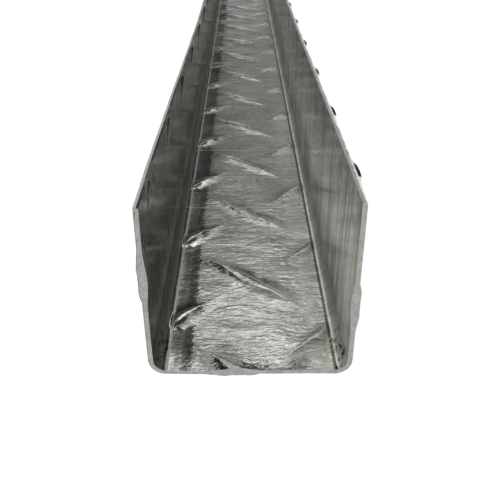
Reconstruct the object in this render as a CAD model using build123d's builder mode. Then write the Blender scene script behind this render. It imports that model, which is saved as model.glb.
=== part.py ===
"""Aluminium U-channel trim, brake-formed from thin tread plate, in millimetres.

The channel is one piece of sheet: a flat web, two upright flanges and a small round bend
between them. The raised tread lugs are on the outside, so it rests on the lugs of its web,
and its smooth trough takes the edge of a board or panel.

The channel runs along Y and opens upwards. The origin is at the centre of its underside,
on the plane of the lug crowns. A place on the sheet is given by two numbers: "along",
which is Y, and "across", the distance from the middle of the web measured over the flat
blank, so that it runs on round the bends and up the flanges.
"""

import os
from math import cos, pi, radians, sin, sqrt, tan

from build123d import *

# The section
channel_width = 45.0  # outside, over the plain faces of the flanges
flange_height = 41.0  # from the plain underside of the web to the sheared edge
wall = 1.14
bend_radius = 4.0  # outside
stock_length = 914.4

# The tread lugs: pointed lenses with sloping flanks and flat crowns
lug_length = 31.0
lug_width = 7.6
lug_height = 0.95
flank_angle = 50.0  # from upright
lug_lean = 45.0  # from the channel's length, to either side by turns
lug_pitch = 41.0  # between like lugs, both along and across
first_row = -3.2  # from the near end to the first row of lugs down the middle of the web

# A lug that crosses a bend is carried round it in steps, with its root inside the wall.
bend_steps = 4
bend_root = 0.4

# Levels and distances that follow from these
half_width = channel_width / 2
half_length = stock_length / 2
half_pitch = lug_pitch / 2
web_under = lug_height
flange_top = web_under + flange_height
flange_start = web_under + bend_radius
bend_start = half_width - bend_radius
neutral_radius = bend_radius - 0.58 * wall
bend_end = bend_start + neutral_radius * pi / 2
sheet_edge = bend_end + flange_top - flange_start
sheet_zero = flange_start - bend_end  # the level a flange's "across" is counted from

# The lug's outline is where two discs of this radius overlap, their centres set apart.
disc_radius = (lug_length**2 + lug_width**2) / (4 * lug_width)
disc_offset = disc_radius - lug_width / 2

# The three flat outer faces. The x of each runs along the channel, its y across the sheet.
web_face = Plane((0, 0, web_under), x_dir=(0, 1, 0), z_dir=(0, 0, -1))
right_face = Plane((half_width, 0, sheet_zero), x_dir=(0, 1, 0), z_dir=(1, 0, 0))
left_face = Plane((-half_width, 0, sheet_zero), x_dir=(0, 1, 0), z_dir=(-1, 0, 0))


def lug_rows(line):
    """Where the lugs of a line that touch the channel are centred along it.

    Line 0 is down the middle of the web, and each next one is half a pitch across.
    """
    first = first_row - half_length + (line % 2) * half_pitch
    reach = half_length + lug_length / 2
    rows = [first + step * lug_pitch for step in range(-1, int(stock_length / lug_pitch) + 2)]
    return [row for row in rows if abs(row) < reach]


def lug_places(face, line, rows):
    """The places of a line's lugs on a flat face. The odd lines lean the other way."""
    lean = lug_lean if line % 2 else -lug_lean
    return [face.location * Location((row, line * half_pitch, 0), (0, 0, lean)) for row in rows]


def lug_edge(distance, sink, side):
    """How far along a leaning lug's outline lies, at a distance across from its centre.

    The outline is the one at a depth "sink" below the crown, and side is -1 or +1.
    """
    radius = disc_radius - (lug_height - sink) * tan(radians(flank_angle))
    gap = distance - side * disc_offset * cos(radians(lug_lean))
    return side * (sqrt(radius**2 - gap**2) - disc_offset * sin(radians(lug_lean)))


# One whole lug, lying along X on the XY plane
with BuildPart() as lug:
    with BuildSketch():
        with BuildLine():
            ThreePointArc((-lug_length / 2, 0), (0, -lug_width / 2), (lug_length / 2, 0))
            ThreePointArc((lug_length / 2, 0), (0, lug_width / 2), (-lug_length / 2, 0))
        make_face()
    extrude(amount=lug_height, taper=flank_angle)

# The lug of line 1, which crosses the right bend: its end on the web, its end on the
# flange, and the middle lofted round the bend from the one cut face to the other
with BuildPart() as web_end:
    with Locations(*lug_places(web_face, 1, [0])):
        add(lug.part)
    split(bisect_by=Plane.YZ.offset(bend_start), keep=Keep.BOTTOM)

with BuildPart() as flange_end:
    with Locations(*lug_places(right_face, 1, [0])):
        add(lug.part)
    split(bisect_by=Plane.XY.offset(flange_start), keep=Keep.TOP)

with BuildPart() as bend_lug:
    add(web_end.faces().sort_by(Axis.X)[-1])
    for step in range(1, bend_steps):
        turn = pi / 2 * step / bend_steps
        distance = bend_start + neutral_radius * turn - half_pitch
        root = bend_radius - bend_root
        crown = bend_radius + lug_height
        root_sink = lug_height + bend_root
        outward = (sin(turn), 0, -cos(turn))
        onward = (cos(turn), 0, sin(turn))
        with BuildSketch(Plane((bend_start, 0, flange_start), x_dir=outward, z_dir=onward)):
            with BuildLine():
                Polyline(
                    (root, lug_edge(distance, root_sink, -1)),
                    (crown, lug_edge(distance, 0, -1)),
                    (crown, lug_edge(distance, 0, 1)),
                    (root, lug_edge(distance, root_sink, 1)),
                    close=True,
                )
            make_face()
    add(flange_end.faces().sort_by(Axis.Z)[0])
    loft(ruled=True)
    add(web_end.part)
    add(flange_end.part)

# The lugs on the flanges, cut off level with the sheared edge
last_line = int((sheet_edge + lug_length / 2 * sin(radians(lug_lean))) / half_pitch)
with BuildPart() as flange_lugs:
    for line in range(2, last_line + 1):
        with Locations(*lug_places(right_face, line, lug_rows(line))):
            add(lug.part)
        with Locations(*lug_places(left_face, -line, lug_rows(-line))):
            add(lug.part)
    split(bisect_by=Plane.XY.offset(flange_top), keep=Keep.BOTTOM)

# The bent sheet with all its lugs, sheared to length
with BuildPart() as channel:
    with BuildSketch(Plane.XZ.offset(-half_length)):
        with BuildLine():
            FilletPolyline(
                (-half_width, flange_top),
                (-half_width, web_under),
                (half_width, web_under),
                (half_width, flange_top),
                radius=bend_radius,
            )
            offset(amount=-wall, side=Side.LEFT)
        make_face()
    extrude(amount=stock_length)
    add(flange_lugs.part)
    with Locations(*lug_places(web_face, 0, lug_rows(0))):
        add(lug.part)
    with Locations(*[Location((0, row, 0)) for row in lug_rows(1)]):
        add(bend_lug.part)
    with Locations(*[Location((0, row, 0), (0, 0, 180)) for row in lug_rows(-1)]):
        add(bend_lug.part)
    split(bisect_by=Plane.XZ.offset(half_length), keep=Keep.BOTTOM)
    split(bisect_by=Plane.XZ.offset(-half_length), keep=Keep.TOP)

os.makedirs("parts", exist_ok=True)
channel.part.label = "channel"
export_step(channel.part, "parts/channel.step")
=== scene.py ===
"""The looks of a tread-plate U-channel: its sheet with lugs and print-through, its mill
finish, the sheared edges, the floor it lies on, the light and the camera."""

import math

import bmesh
import bpy
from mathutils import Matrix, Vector, noise


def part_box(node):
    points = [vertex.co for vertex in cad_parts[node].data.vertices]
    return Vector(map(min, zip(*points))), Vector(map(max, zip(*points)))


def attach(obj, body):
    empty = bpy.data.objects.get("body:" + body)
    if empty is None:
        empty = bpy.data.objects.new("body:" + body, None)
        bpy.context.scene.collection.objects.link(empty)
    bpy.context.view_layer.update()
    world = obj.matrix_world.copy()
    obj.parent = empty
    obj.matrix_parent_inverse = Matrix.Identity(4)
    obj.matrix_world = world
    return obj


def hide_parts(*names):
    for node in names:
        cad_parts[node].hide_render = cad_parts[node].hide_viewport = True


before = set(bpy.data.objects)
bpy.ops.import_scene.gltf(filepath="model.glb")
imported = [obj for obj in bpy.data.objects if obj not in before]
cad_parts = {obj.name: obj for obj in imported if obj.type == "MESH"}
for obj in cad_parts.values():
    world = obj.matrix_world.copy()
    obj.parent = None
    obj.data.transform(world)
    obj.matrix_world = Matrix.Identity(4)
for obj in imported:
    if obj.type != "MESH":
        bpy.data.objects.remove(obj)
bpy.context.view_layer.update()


# The channel's sheet: thin aluminium tread plate, rolled with raised lugs on one side,
# sheared to size and bent twice on a press brake with the lugs outwards. It is laid out
# flat first, on a lattice that follows the lugs, and then bent round.

mm = 0.001
sheet_wall = 1.14 * mm
half_width = 22.5 * mm
bend_radius = 4.0 * mm
neutral_radius = bend_radius - 0.58 * sheet_wall
channel_low, channel_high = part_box("channel")
near_end = channel_low.y
far_end = channel_high.y

lug_length = 31.0 * mm
lug_width = 7.6 * mm
lug_height = 0.95 * mm
lug_shoulder = 0.83 * mm
lug_flank = 1.13 * mm
lug_pitch = 41.0 * mm
first_row = -3.2 * mm

# The rolls leave a faint print of every lug on the plain side of the sheet: a narrow ridge,
# steeper on its near side, on a low swelling as wide as the lug. The bends press it flat.
print_length = 29.0 * mm
print_width = 4.4 * mm
print_height = 0.53 * mm
print_sway = 0.3 * mm
print_sway_scale = 90
print_unevenness = 0.5
print_uneven_scale = 60
foot_share = 0.85
swelling_height = 0.03 * mm

# Thin sheet is never flat: it keeps low waves from the rolls, fewer where it was bent.
wave_height = 0.22 * mm
wave_scale = 70
ripple_height = 0.05 * mm
ripple_scale = 190
waves_pressed_out = 0.6

# The shear lifts the sheet a little where it cuts through a lug, and rounds one side of the cut.
shear_lift = 0.5 * mm
shear_reach = 7.0 * mm
edge_push = 0.75
edge_reach = 10.0 * mm
left_lug_fade = 3.0 * mm
right_lug_fade = 0.5 * mm
end_round = 0.12 * mm
end_round_depth = 0.2 * mm
edge_round = 0.14 * mm
clean_cut = 0.65 * mm

# The right flange stands a little taller. Both spring apart at the sheared ends and close in
# between them.
right_rise = 1.0 * mm
left_flare = 0.5 * mm
right_flare = 0.2 * mm
left_closing = 2.0 * mm
right_closing = 1.1 * mm
end_reach = 220 * mm
end_overrun = 20 * mm

web_under = channel_low.z + lug_height
flange_start = web_under + bend_radius
bend_start = half_width - bend_radius
bend_end = bend_start + neutral_radius * math.pi / 2
left_edge = bend_end + channel_high.z - flange_start
right_edge = left_edge + right_rise
bend_strips = 6

# Both families of lugs lie along the lines of one square lattice, turned by 45 degrees.
lattice_cell = lug_pitch / math.sqrt(2)
half_cell = lattice_cell / 2
disc_radius = (lug_length**2 + lug_width**2) / (4 * lug_width)
disc_offset = disc_radius - lug_width / 2
crown_lines = [0, 0.3, 0.56, 0.79, 1]
open_lines = [6.6 * mm, 10.2 * mm, half_cell]
lines_in_half = len(crown_lines) + len(open_lines)
lines_in_cell = 2 * lines_in_half
trim_margin = 10 * mm
hair = 0.01 * mm


def smooth_step(value, low, high):
    """0 below low, 1 above high, and an even S between them."""
    share = min(1.0, max(0.0, (value - low) / (high - low)))
    return share * share * (3 - 2 * share)


def nearest_lug(across, along):
    """How far inside the nearest lug's outline a place on the flat sheet is, how far it is
    along the lug from its middle, and how far from its long axis, positive to the far side."""
    along = along - near_end - first_row
    p = (across - along) / math.sqrt(2) / lattice_cell
    q = (across + along) / math.sqrt(2) / lattice_cell
    best = None
    for a in (math.floor(p), math.floor(p) + 1):
        for b in (math.floor(q), math.floor(q) + 1):
            lengthwise, farther = (p - a, q - b) if (a + b) % 2 == 0 else (q - b, a - p)
            lengthwise *= lattice_cell
            farther *= lattice_cell
            inset = disc_radius - math.hypot(lengthwise, abs(farther) + disc_offset)
            if best is None or inset > best[0]:
                best = (inset, lengthwise, farther)
    return best


def lug_profile(inset):
    """How high a lug stands, from how far inside its outline the place is."""
    shoulder = lug_shoulder * min(1, max(0, inset / lug_flank))
    return shoulder + (lug_height - lug_shoulder) * smooth_step(inset, lug_flank, lug_width / 2)


def print_profile(inset, lengthwise, farther, spot):
    """How far the plain side stands proud behind a lug."""
    swelling = swelling_height * smooth_step(inset, -1.5 * mm, 3.0 * mm)
    share = min(1, abs(lengthwise) / (print_length / 2))
    half = print_width / 2 * (1 - share**2)
    farther += print_sway * noise.noise(spot * print_sway_scale)
    foot = smooth_step(farther, -half - 0.2 * mm, -half + 0.8 * mm)
    top = smooth_step(farther, -half + 0.6 * mm, 0.3 * half)
    far_side = 1 - smooth_step(farther, 0, half + 0.6 * mm)
    uneven = 1 + print_unevenness * noise.noise(spot * print_uneven_scale)
    ridge = print_height * (1 - share**4) * uneven
    return swelling + ridge * (foot_share * foot + (1 - foot_share) * top) * far_side


def outline_width(lengthwise):
    """Half the width that the lattice's lines leave for a lug, some way along it."""
    distance = abs(lengthwise)
    tip_width = math.sqrt(disc_radius**2 - half_cell**2) - disc_offset
    if distance <= half_cell:
        return math.sqrt(disc_radius**2 - distance**2) - disc_offset
    opening = smooth_step(distance, half_cell, lattice_cell - 5 * mm)
    return tip_width + (lug_width / 2 - tip_width) * opening


def line_place(line, crossing_line, parity):
    """Where a line of the lattice runs as it meets a crossing one, drawn in to the lugs."""
    cell = math.floor(line / lines_in_cell + 0.5)
    step = line - cell * lines_in_cell
    position = crossing_line / lines_in_cell
    # The lugs along this line sit at every second crossing.
    lug = 2 * math.floor((position - cell - parity) / 2 + 0.5) + cell + parity
    width = outline_width((position - lug) * lattice_cell)
    crown = max(width - lug_flank, 0.3 * width)
    places = [crown * share for share in crown_lines] + [width]
    opening = (half_cell - width) / (half_cell - lug_width / 2)
    places += [half_cell - (half_cell - place) * opening for place in open_lines]
    return cell * lattice_cell + math.copysign(places[abs(step)], step)


sheet = bmesh.new()
side = sheet.verts.layers.int.new("side")
corners = [
    (across - along) / math.sqrt(2) / lattice_cell
    for across in (-left_edge, left_edge)
    for along in (-first_row, far_end - near_end - first_row)
]
lowest_line = (math.floor(min(corners)) - 1) * lines_in_cell
highest_line = (math.ceil(max(corners)) + 1) * lines_in_cell
line_count = highest_line - lowest_line
bmesh.ops.create_grid(sheet, x_segments=line_count, y_segments=line_count, size=0.5)
stray = []
for vert in sheet.verts:
    line_p = round((vert.co.x + 0.5) * line_count) + lowest_line
    line_q = round((vert.co.y + 0.5) * line_count) - highest_line
    p = line_place(line_p, line_q, 1)
    q = line_place(line_q, line_p, 0)
    across = (p + q) / math.sqrt(2)
    along = (q - p) / math.sqrt(2) + near_end + first_row
    vert.co = Vector((across, along, 0))
    in_length = near_end - trim_margin < along < far_end + trim_margin
    if abs(across) > left_edge + trim_margin or not in_length:
        stray.append(vert)
bmesh.ops.delete(sheet, geom=stray, context="VERTS")


def cut_line(place, direction, trim, snap):
    """Runs an edge line through the flat sheet, and trims off what lies past it if asked."""
    for vert in sheet.verts:
        distance = (vert.co - place).dot(direction)
        if abs(distance) < snap:
            vert.co -= direction * distance
    bmesh.ops.bisect_plane(
        sheet,
        geom=sheet.verts[:] + sheet.edges[:] + sheet.faces[:],
        dist=0.001 * mm,
        plane_co=place,
        plane_no=direction,
        clear_outer=trim,
    )


trim_snap = 0.35 * mm
line_snap = 0.2 * mm
for turn in (-1, 1):
    outward = Vector((turn, 0, 0))
    cut_line(outward * (left_edge if turn < 0 else right_edge), outward, True, trim_snap)
    for strip in range(bend_strips + 1):
        across = bend_start + (bend_end - bend_start) * strip / bend_strips
        cut_line(outward * across, outward, False, line_snap)
cut_line(Vector((right_edge - right_lug_fade, 0, 0)), Vector((1, 0, 0)), False, line_snap)
cut_line(Vector((0, near_end, 0)), Vector((0, -1, 0)), True, trim_snap)
cut_line(Vector((0, far_end, 0)), Vector((0, 1, 0)), True, trim_snap)

# The flat sheet gets its wall: a second face of it, and a rim with one line around its middle.
# The vertices are marked 0 on the plain side, 1 on that line and 2 on the lugs' side.
flat_faces = sheet.faces[:]
lifted = bmesh.ops.extrude_face_region(sheet, geom=flat_faces, use_keep_orig=True)["geom"]
outer_verts = {item for item in lifted if isinstance(item, bmesh.types.BMVert)}
for vert in outer_verts:
    vert[side] = 2
rim_edges = [
    edge
    for edge in sheet.edges
    if (edge.verts[0] in outer_verts) != (edge.verts[1] in outer_verts)
]
split = bmesh.ops.subdivide_edges(sheet, edges=rim_edges, cuts=1)["geom_inner"]
for item in split:
    if isinstance(item, bmesh.types.BMVert):
        item[side] = 1

# A cut is bright and grainy over most of the wall, and smooth where the shear rolled it over:
# towards the lugs' side everywhere but along the left flange.
sheared_cut = 1
burnished_cut = 2
for face in sheet.faces:
    layers = {vert[side] for vert in face.verts}
    middle = face.calc_center_median()
    on_left_edge = middle.x < hair - left_edge
    on_right_edge = middle.x > right_edge - hair
    rolled = {0, 1} if on_left_edge else {1, 2}
    if len(layers) > 1 and layers != rolled:
        face.material_index = burnished_cut if on_left_edge or on_right_edge else sheared_cut
    face.smooth = True


def cut_lift(across, along):
    """How far the sheet is lifted off its lugs' side beside a sheared end that runs through a lug."""
    lift = 0
    for end in (near_end, far_end):
        cut_depth = smooth_step(nearest_lug(across, end)[0], -1.0 * mm, 3.2 * mm)
        lift = max(lift, cut_depth * (1 - smooth_step(abs(along - end), 0, shear_reach)))
    return lift * shear_lift


# Every place on the flat sheet gets its lug, its print, its waves and its lift, and is bent round.
lug_layer = sheet.verts.layers.float.new("lug")
outside_layer = sheet.verts.layers.float.new("outside")
for vert in sheet.verts:
    across, along = vert.co.x, vert.co.y
    spot = Vector((across, along, 0))
    distance = abs(across)
    from_edge = (left_edge if across < 0 else right_edge) - distance
    from_end = min(along - near_end, far_end - along)
    on_edge = from_edge < hair
    inset, lengthwise, farther = nearest_lug(across, along)
    raised = lug_profile(inset)
    if across < 0:
        raised *= smooth_step(from_edge, 0, left_lug_fade)
        pushed = edge_push * lug_profile(nearest_lug(-left_edge, along)[0])
        pushed *= 1 - smooth_step(from_edge, 0, edge_reach)
    else:
        raised *= smooth_step(from_edge, 0, right_lug_fade)
        pushed = 0
    printed = print_profile(inset, lengthwise, farther, spot)
    printed *= 1 - smooth_step(distance, bend_start - 0.3 * mm, bend_start + 1.2 * mm)
    printed *= 0.3 + 0.7 * smooth_step(from_end, 0, shear_reach)
    wave = wave_height * (0.5 + noise.noise(spot * wave_scale))
    wave += ripple_height * noise.noise(spot * ripple_scale)
    wave *= 1 - waves_pressed_out * smooth_step(distance, bend_start, bend_end)
    lift = cut_lift(across, along) + wave
    outer = raised - lift
    inner = -sheet_wall - lift - max(printed, pushed)
    if vert[side] == 2:
        depth = outer
        vert[lug_layer] = raised / lug_height
        vert[outside_layer] = 1
        if on_edge and across > 0:
            distance -= edge_round
        if from_end < hair:
            along += math.copysign(end_round, -along)
    elif vert[side] == 0:
        depth = inner
        if on_edge and across < 0:
            distance -= edge_round
    elif on_edge:
        depth = clean_cut - sheet_wall - lift if across > 0 else outer - clean_cut
    else:
        depth = outer - end_round_depth
    angle = min(math.pi / 2, max(0, (distance - bend_start) / neutral_radius))
    reach = bend_radius + depth
    out = min(distance, bend_start) + reach * math.sin(angle)
    up = max(0, distance - bend_end) + flange_start - reach * math.cos(angle)
    flare, closing = (left_flare, left_closing) if across < 0 else (right_flare, right_closing)
    lean = smooth_step(from_end, -end_overrun, end_reach) * (flare + closing) - flare
    out -= lean * max(0, up - flange_start) / (channel_high.z - flange_start)
    vert.co = Vector((math.copysign(out, across), along, up))

bmesh.ops.recalc_face_normals(sheet, faces=sheet.faces[:])
sharpest_smooth = math.radians(62)
for edge in sheet.edges:
    parts = {face.material_index for face in edge.link_faces}
    if len(parts) > 1 or edge.calc_face_angle(0) > sharpest_smooth:
        edge.smooth = False

mesh = bpy.data.meshes.new("channel_sheet")
sheet.to_mesh(mesh)
sheet.free()
channel = bpy.data.objects.new("channel_sheet", mesh)
bpy.context.scene.collection.objects.link(channel)


class Finish:
    """One value or colour of a surface finish, as it comes out of one of its nodes."""

    def __init__(self, tree, socket=None):
        self.tree = tree
        self.socket = socket

    def node(self, kind, settings=None, inputs=None, output=0):
        """Adds a node, sets it, fills or links its sockets and gives one of its outputs."""
        node = self.tree.nodes.new(kind)
        for name, value in (settings or {}).items():
            if name == "stops":
                ramp = node.color_ramp
                while len(ramp.elements) < len(value):
                    ramp.elements.new(1)
                for element, (place, shade) in zip(ramp.elements, value):
                    element.position = place
                    element.color = (shade, shade, shade, 1)
            else:
                setattr(node, name, value)
        for name, value in (inputs or {}).items():
            if isinstance(value, Finish):
                self.tree.links.new(value.socket, node.inputs[name])
            else:
                node.inputs[name].default_value = value
        return Finish(self.tree, node.outputs[output] if node.outputs else None)

    def other(self, output):
        """Another output of the node that this value comes out of."""
        return Finish(self.tree, self.socket.node.outputs[output])

    def reckon(self, operation, *values):
        """One step of arithmetic on these values."""
        return self.node("ShaderNodeMath", {"operation": operation}, dict(enumerate(values)))

    def __add__(self, other):
        return self.reckon("ADD", self, other)

    def __radd__(self, other):
        return self.reckon("ADD", other, self)

    def __sub__(self, other):
        return self.reckon("SUBTRACT", self, other)

    def __rsub__(self, other):
        return self.reckon("SUBTRACT", other, self)

    def __mul__(self, other):
        return self.reckon("MULTIPLY", self, other)

    def __rmul__(self, other):
        return self.reckon("MULTIPLY", other, self)

    def unsigned(self):
        """This value without its sign."""
        return self.reckon("ABSOLUTE", self)

    def step(self, low, high):
        """0 where this is under low, 1 where it is over high, smoothly between them."""
        settings = {"interpolation_type": "SMOOTHSTEP"}
        inputs = {"Value": self, "From Min": low, "From Max": high}
        return self.node("ShaderNodeMapRange", settings, inputs)

    def line(self, place, core, edge):
        """1 within core of the line where this is at place, 0 farther off than edge."""
        return 1 - (self - place).unsigned().step(core, edge)

    def noise(self, scale, detail=3.0, roughness=0.5):
        """Noise from 0 to 1 over these coordinates, each way at its own scale."""
        stretched = self.node("ShaderNodeVectorMath", {"operation": "MULTIPLY"}, {0: self, 1: scale})
        inputs = {"Vector": stretched, "Scale": 1.0, "Detail": detail, "Roughness": roughness}
        return self.node("ShaderNodeTexNoise", {}, inputs)

    def mix(self, first, second):
        """The first colour where this is 0 and the second where it is 1."""
        first, second = [
            shade if isinstance(shade, Finish) else (*shade, 1) for shade in (first, second)
        ]
        inputs = {0: self, 6: first, 7: second}
        return self.node("ShaderNodeMix", {"data_type": "RGBA"}, inputs, output=2)

    def surface(self, colour, roughness, metallic, bump):
        """Ends a finish in its shader."""
        inputs = {"Base Color": colour, "Roughness": roughness, "Metallic": metallic, "Normal": bump}
        shader = self.node("ShaderNodeBsdfPrincipled", {}, inputs)
        self.node("ShaderNodeOutputMaterial", {}, {"Surface": shader})


def new_finish(name):
    """A material with nothing in it yet, and where its nodes start."""
    material = bpy.data.materials.new(name)
    material.use_nodes = True
    material.node_tree.nodes.clear()
    return material, Finish(material.node_tree)


# The mill finish of the rolled sheet: bright metal with short wavy dashes and broader drifts
# across the channel's length on the web, and streaks and bands up and down the flanges.
dull_metal = (0.50, 0.505, 0.465)
clean_metal = (0.80, 0.805, 0.74)
flange_metal = (0.86, 0.865, 0.80)
flange_stain = (0.24, 0.24, 0.215)
smudge_colour = (0.22, 0.22, 0.20)
worn_metal = (0.83, 0.83, 0.80)
mill, start = new_finish("mill_aluminium")
place = start.node("ShaderNodeTexCoord", output="Object")
sideways = place.node("ShaderNodeSeparateXYZ", {}, {0: place})
along = sideways.other("Y")
height = sideways.other("Z")
outside = start.node("ShaderNodeAttribute", {"attribute_name": "outside"}, output="Fac")
sway = place.noise((90, 90, 90), 2, 0.5) - 0.5
shift = start.node("ShaderNodeCombineXYZ", {}, {1: sway * (4.0 * mm)})
swayed = start.node("ShaderNodeVectorMath", {"operation": "ADD"}, {0: place, 1: shift})
dashes = swayed.noise((430, 1000, 430), 2, 0.6)
drifts = swayed.noise((90, 170, 90), 2, 0.6)
streaks = swayed.noise((25, 600, 25), 3, 0.6)
bands = place.noise((10, 110, 10), 5, 0.65)
blotches = place.noise((45, 45, 45), 4, 0.55)
on_web = 1 - height.step(2.4 * mm, 3.0 * mm)
on_flange = height.step(3.0 * mm, 7.0 * mm)
near_front = 1 - (along - near_end).step(12.0 * mm, 40.0 * mm)
grain = (dashes * 0.6 + drifts * 0.4) * (1 - on_flange) + bands * on_flange
shade = streaks * 0.2 + grain * 0.55 + blotches * 0.25
colour = shade.step(0.38, 0.62).mix(dull_metal, clean_metal)
colour = (0.6 * on_flange).mix(colour, flange_metal)
stained = (0.8 - 0.65 * outside) * on_flange * (streaks * 0.3 + bands * 0.7).step(0.47, 0.58)
colour = stained.mix(colour, flange_stain)
smudges = place.noise((85, 85, 85), 3, 0.5).step(0.50, 0.66) * near_front * on_web
colour = (0.6 * smudges).mix(colour, smudge_colour)

# The crowns of the lugs are worn bright.
worn = start.node("ShaderNodeAttribute", {"attribute_name": "lug"}, output="Fac").step(0.86, 1.0)
colour = (worn * 0.8).mix(colour, worn_metal)

# Two thin handling scratches run across the web, and the brake's tools left a brown line along the
# right bend. A painted highlight runs as a pale line along the left bend, and the inside corners by
# the near end get near-black specks.
scratch_places = (82.8 * mm, 134.8 * mm)
scratch_sway = 0.6 * mm
scratch_colour = (0.93, 0.93, 0.90)
highlight_line_place = -18.6 * mm
painted_highlight_colour = (0.92, 0.92, 0.89)
brown_line_place = 18.9 * mm
brown_line_colour = (0.20, 0.17, 0.12)
corner_speck_colour = (0.02, 0.02, 0.018)
scratched = 0
for scratch_place in scratch_places:
    wavering = along + sway * scratch_sway
    scratch = wavering.line(near_end + scratch_place, 0.1 * mm, 0.5 * mm) * on_web
    colour = scratch.mix(colour, scratch_colour)
    scratched = scratched + scratch
# Painted highlight: a pale line along the start of the left bend stands in for the bend's reflection.
bend_highlight = sideways.line(highlight_line_place, 0.12 * mm, 0.38 * mm) * on_web
colour = bend_highlight.mix(colour, painted_highlight_colour)
browned = sideways.line(brown_line_place, 0.2 * mm, 0.55 * mm) * on_web
colour = browned.mix(colour, brown_line_colour)
# Near-black specks in the inside corners of the bends, by the near end.
corner = sideways.unsigned().step(18.6 * mm, 19.2 * mm) * (1 - height.step(3.5 * mm, 6.0 * mm))
near_corner = corner * (1 - (along - near_end).step(8.0 * mm, 18.0 * mm))
specks = place.noise((1100, 500, 1100), 3, 0.6).step(0.52, 0.60) * near_corner
colour = specks.mix(colour, corner_speck_colour)

# The left flange is painted dark: partly a duller film, partly painted shade for the light that falls
# from the left. Both bends are rougher where the tools pressed.
dull_film_and_shade = (0.12, 0.12, 0.11)
on_left = (0 - sideways).step(19.4 * mm, 20.0 * mm)
on_right = sideways.step(19.4 * mm, 20.0 * mm)
# Painted shade: the whole left flange is darkened, partly for a duller film and partly for the light
# that falls from the left.
colour = (0.68 * on_left).mix(colour, dull_film_and_shade)
left_scuffed = on_left * (1 - height.step(4.0 * mm, 6.0 * mm))
right_scuffed = on_right * (1 - height.step(8.0 * mm, 24.0 * mm))
rough = 0.09 + 0.08 * blotches.step(0.35, 0.7) + 0.04 * streaks - 0.04 * worn
# The painted highlight line along the left bend is also made rougher here and less metallic below.
rough = rough + 0.3 * right_scuffed + 0.25 * bend_highlight + 0.35 * left_scuffed
metal = 1 - 0.5 * right_scuffed - 0.5 * bend_highlight - 0.6 * scratched

# The dashes, drifts, streaks and bands are also felt in the surface, least on the lugs' side
# of the flanges and beside the left bend.
dash_depth = 0.10 * mm
drift_depth = 0.26 * mm
streak_depth = 0.13 * mm
band_depth = 0.25 * mm
calm = 1 - 0.6 * (0 - sideways).step(13.0 * mm, 16.0 * mm)
web_relief = (dashes * dash_depth + drifts * drift_depth) * calm
flange_relief = (streaks * streak_depth + bands * band_depth) * (1 - 0.85 * outside)
relief = web_relief + on_flange * (flange_relief - web_relief)
bump = start.node("ShaderNodeBump", {}, {"Strength": 1.0, "Distance": 1.0, "Height": relief})
start.surface(colour, rough, metal, bump)

# The cuts of the shear: the same metal torn to a fine even grain that scatters the light.
sheared, start = new_finish("sheared_aluminium")
place = start.node("ShaderNodeTexCoord", output="Object")
speckle = place.noise((4200, 4200, 4200), 3, 0.6)
tear = place.noise((900, 2600, 900), 2, 0.5)
colour = (speckle * 0.6 + tear * 0.4).step(0.35, 0.65).mix((0.33, 0.33, 0.315), (0.53, 0.53, 0.51))
bump = start.node("ShaderNodeBump", {}, {"Strength": 1.0, "Distance": 0.03 * mm, "Height": speckle})
start.surface(colour, 0.55, 0.6, bump)

# The long cuts were made by a closer shear, which left them brighter, with fine marks across.
burnished, start = new_finish("burnished_cut")
place = start.node("ShaderNodeTexCoord", output="Object")
marks = place.noise((500, 1500, 500), 3, 0.6)
colour = marks.step(0.35, 0.65).mix((0.70, 0.70, 0.68), (0.95, 0.95, 0.93))
bump = start.node("ShaderNodeBump", {}, {"Strength": 1.0, "Distance": 0.05 * mm, "Height": marks})
start.surface(colour, 0.45, 0.35, bump)

mesh.materials.append(mill)
mesh.materials.append(sheared)
mesh.materials.append(burnished)
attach(channel, "root")
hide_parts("channel")


# The studio floor: a wide sheet of pale matt board that shows white to the eye and in the
# metal. Its underside is left clear.
floor_half = 8.0
board_shade = 0.8
board_glow = 0.85
ground = bmesh.new()
bmesh.ops.create_grid(ground, x_segments=1, y_segments=1, size=floor_half)
ground_mesh = bpy.data.meshes.new("floor")
ground.to_mesh(ground_mesh)
ground.free()
floor = bpy.data.objects.new("floor", ground_mesh)
bpy.context.scene.collection.objects.link(floor)
board, start = new_finish("studio_floor")
seen = start.node("ShaderNodeLightPath")
seen = seen + seen.other("Is Glossy Ray") + seen.other("Is Transmission Ray")
glow = seen.reckon("MINIMUM", seen, 1.0) * board_glow
matt = start.node("ShaderNodeBsdfDiffuse", {}, {"Color": (board_shade, board_shade, board_shade, 1)})
lit = start.node("ShaderNodeEmission", {}, {"Color": (1, 1, 1, 1), "Strength": glow})
both = start.node("ShaderNodeAddShader", {}, {0: matt, 1: lit})
clear = start.node("ShaderNodeBsdfTransparent")
underside = start.node("ShaderNodeNewGeometry", output="Backfacing")
surface = start.node("ShaderNodeMixShader", {}, {0: underside, 1: both, 2: clear})
start.node("ShaderNodeOutputMaterial", {}, {"Surface": surface})
ground_mesh.materials.append(board)


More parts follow.
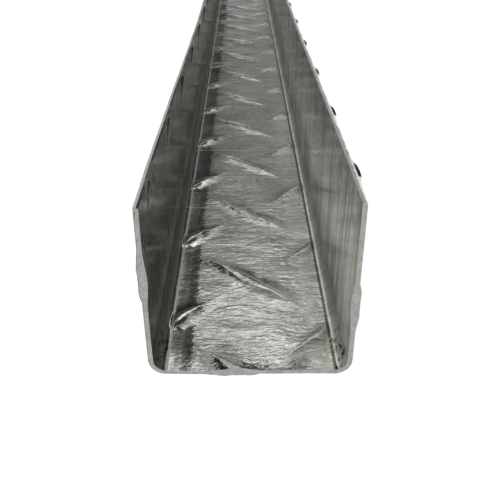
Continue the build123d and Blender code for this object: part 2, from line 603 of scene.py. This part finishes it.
# The studio's soft light: a white horizon, a wide bright window high up ahead, a pale ceiling,
# and a wall that is dark on the right and light on the left and behind the camera.
ahead_levels = [
    (0.0, 0.16), (0.25, 0.19), (0.42, 0.26), (0.60, 0.40),
    (0.75, 0.3), (0.85, 0.2), (0.94, 0.5), (1.0, 0.55),
]
behind_levels = [(0.0, 0.7), (0.6, 0.7), (0.9, 0.55), (1.0, 0.55)]
horizon_level = 1.0
window_level = 1.25
light_wall_level = 0.5
world = bpy.data.worlds.new("studio")
world.use_nodes = True
world.node_tree.nodes.clear()
sky = Finish(world.node_tree)
gaze = sky.node("ShaderNodeTexCoord")
rightwards = sky.node("ShaderNodeSeparateXYZ", {}, {0: gaze})
ahead = rightwards.other("Y")
upwards = rightwards.other("Z")
ahead_light = upwards.node("ShaderNodeValToRGB", {"stops": ahead_levels}, {0: upwards})
behind_light = upwards.node("ShaderNodeValToRGB", {"stops": behind_levels}, {0: upwards})
dark_wall = (rightwards - 0.1 * upwards).step(0.005, 0.06) * (1 - rightwards.step(0.75, 0.95))
light_wall = (0 - rightwards).step(0.06, 0.20) * (1 - upwards.step(0.6, 0.85))
window = upwards.step(0.56, 0.63) * (1 - upwards.step(0.64, 0.69))
window = window * (1 - rightwards.unsigned().step(0.06, 0.14))
tilted = 0.75 + 0.5 * rightwards.step(-0.06, 0.06)
ahead_light = ahead_light * (1 - 0.88 * dark_wall) * tilted
ahead_light = ahead_light + light_wall_level * light_wall + window_level * window
facing = ahead.step(-0.15, 0.15)
level = behind_light + facing * (ahead_light - behind_light)
horizon = (1 - upwards.step(0.06, 0.12)) * (1 - 0.8 * dark_wall)
level = level + horizon * (horizon_level - level)
room = sky.node("ShaderNodeBackground", {}, {"Color": (1, 1, 1, 1), "Strength": level})
sky.node("ShaderNodeOutputWorld", {}, {"Surface": room})
bpy.context.scene.world = world


# The camera, as the photograph was taken: from just before the near end, looking down
# into the channel.
focal_length = 49.125
film_width = 36
eye = (-1.799 * mm, -575.702 * mm, 98.946 * mm)
turn_in_degrees = (60.780, -0.148, -0.698)
lens = bpy.data.cameras.new("camera")
lens.lens = focal_length
lens.sensor_width = film_width
lens.clip_start = 0.01
camera = bpy.data.objects.new("camera", lens)
camera.location = eye
camera.rotation_euler = [math.radians(turn) for turn in turn_in_degrees]
bpy.context.scene.collection.objects.link(camera)
bpy.context.scene.camera = camera
bpy.context.scene.view_settings.view_transform = "Standard"
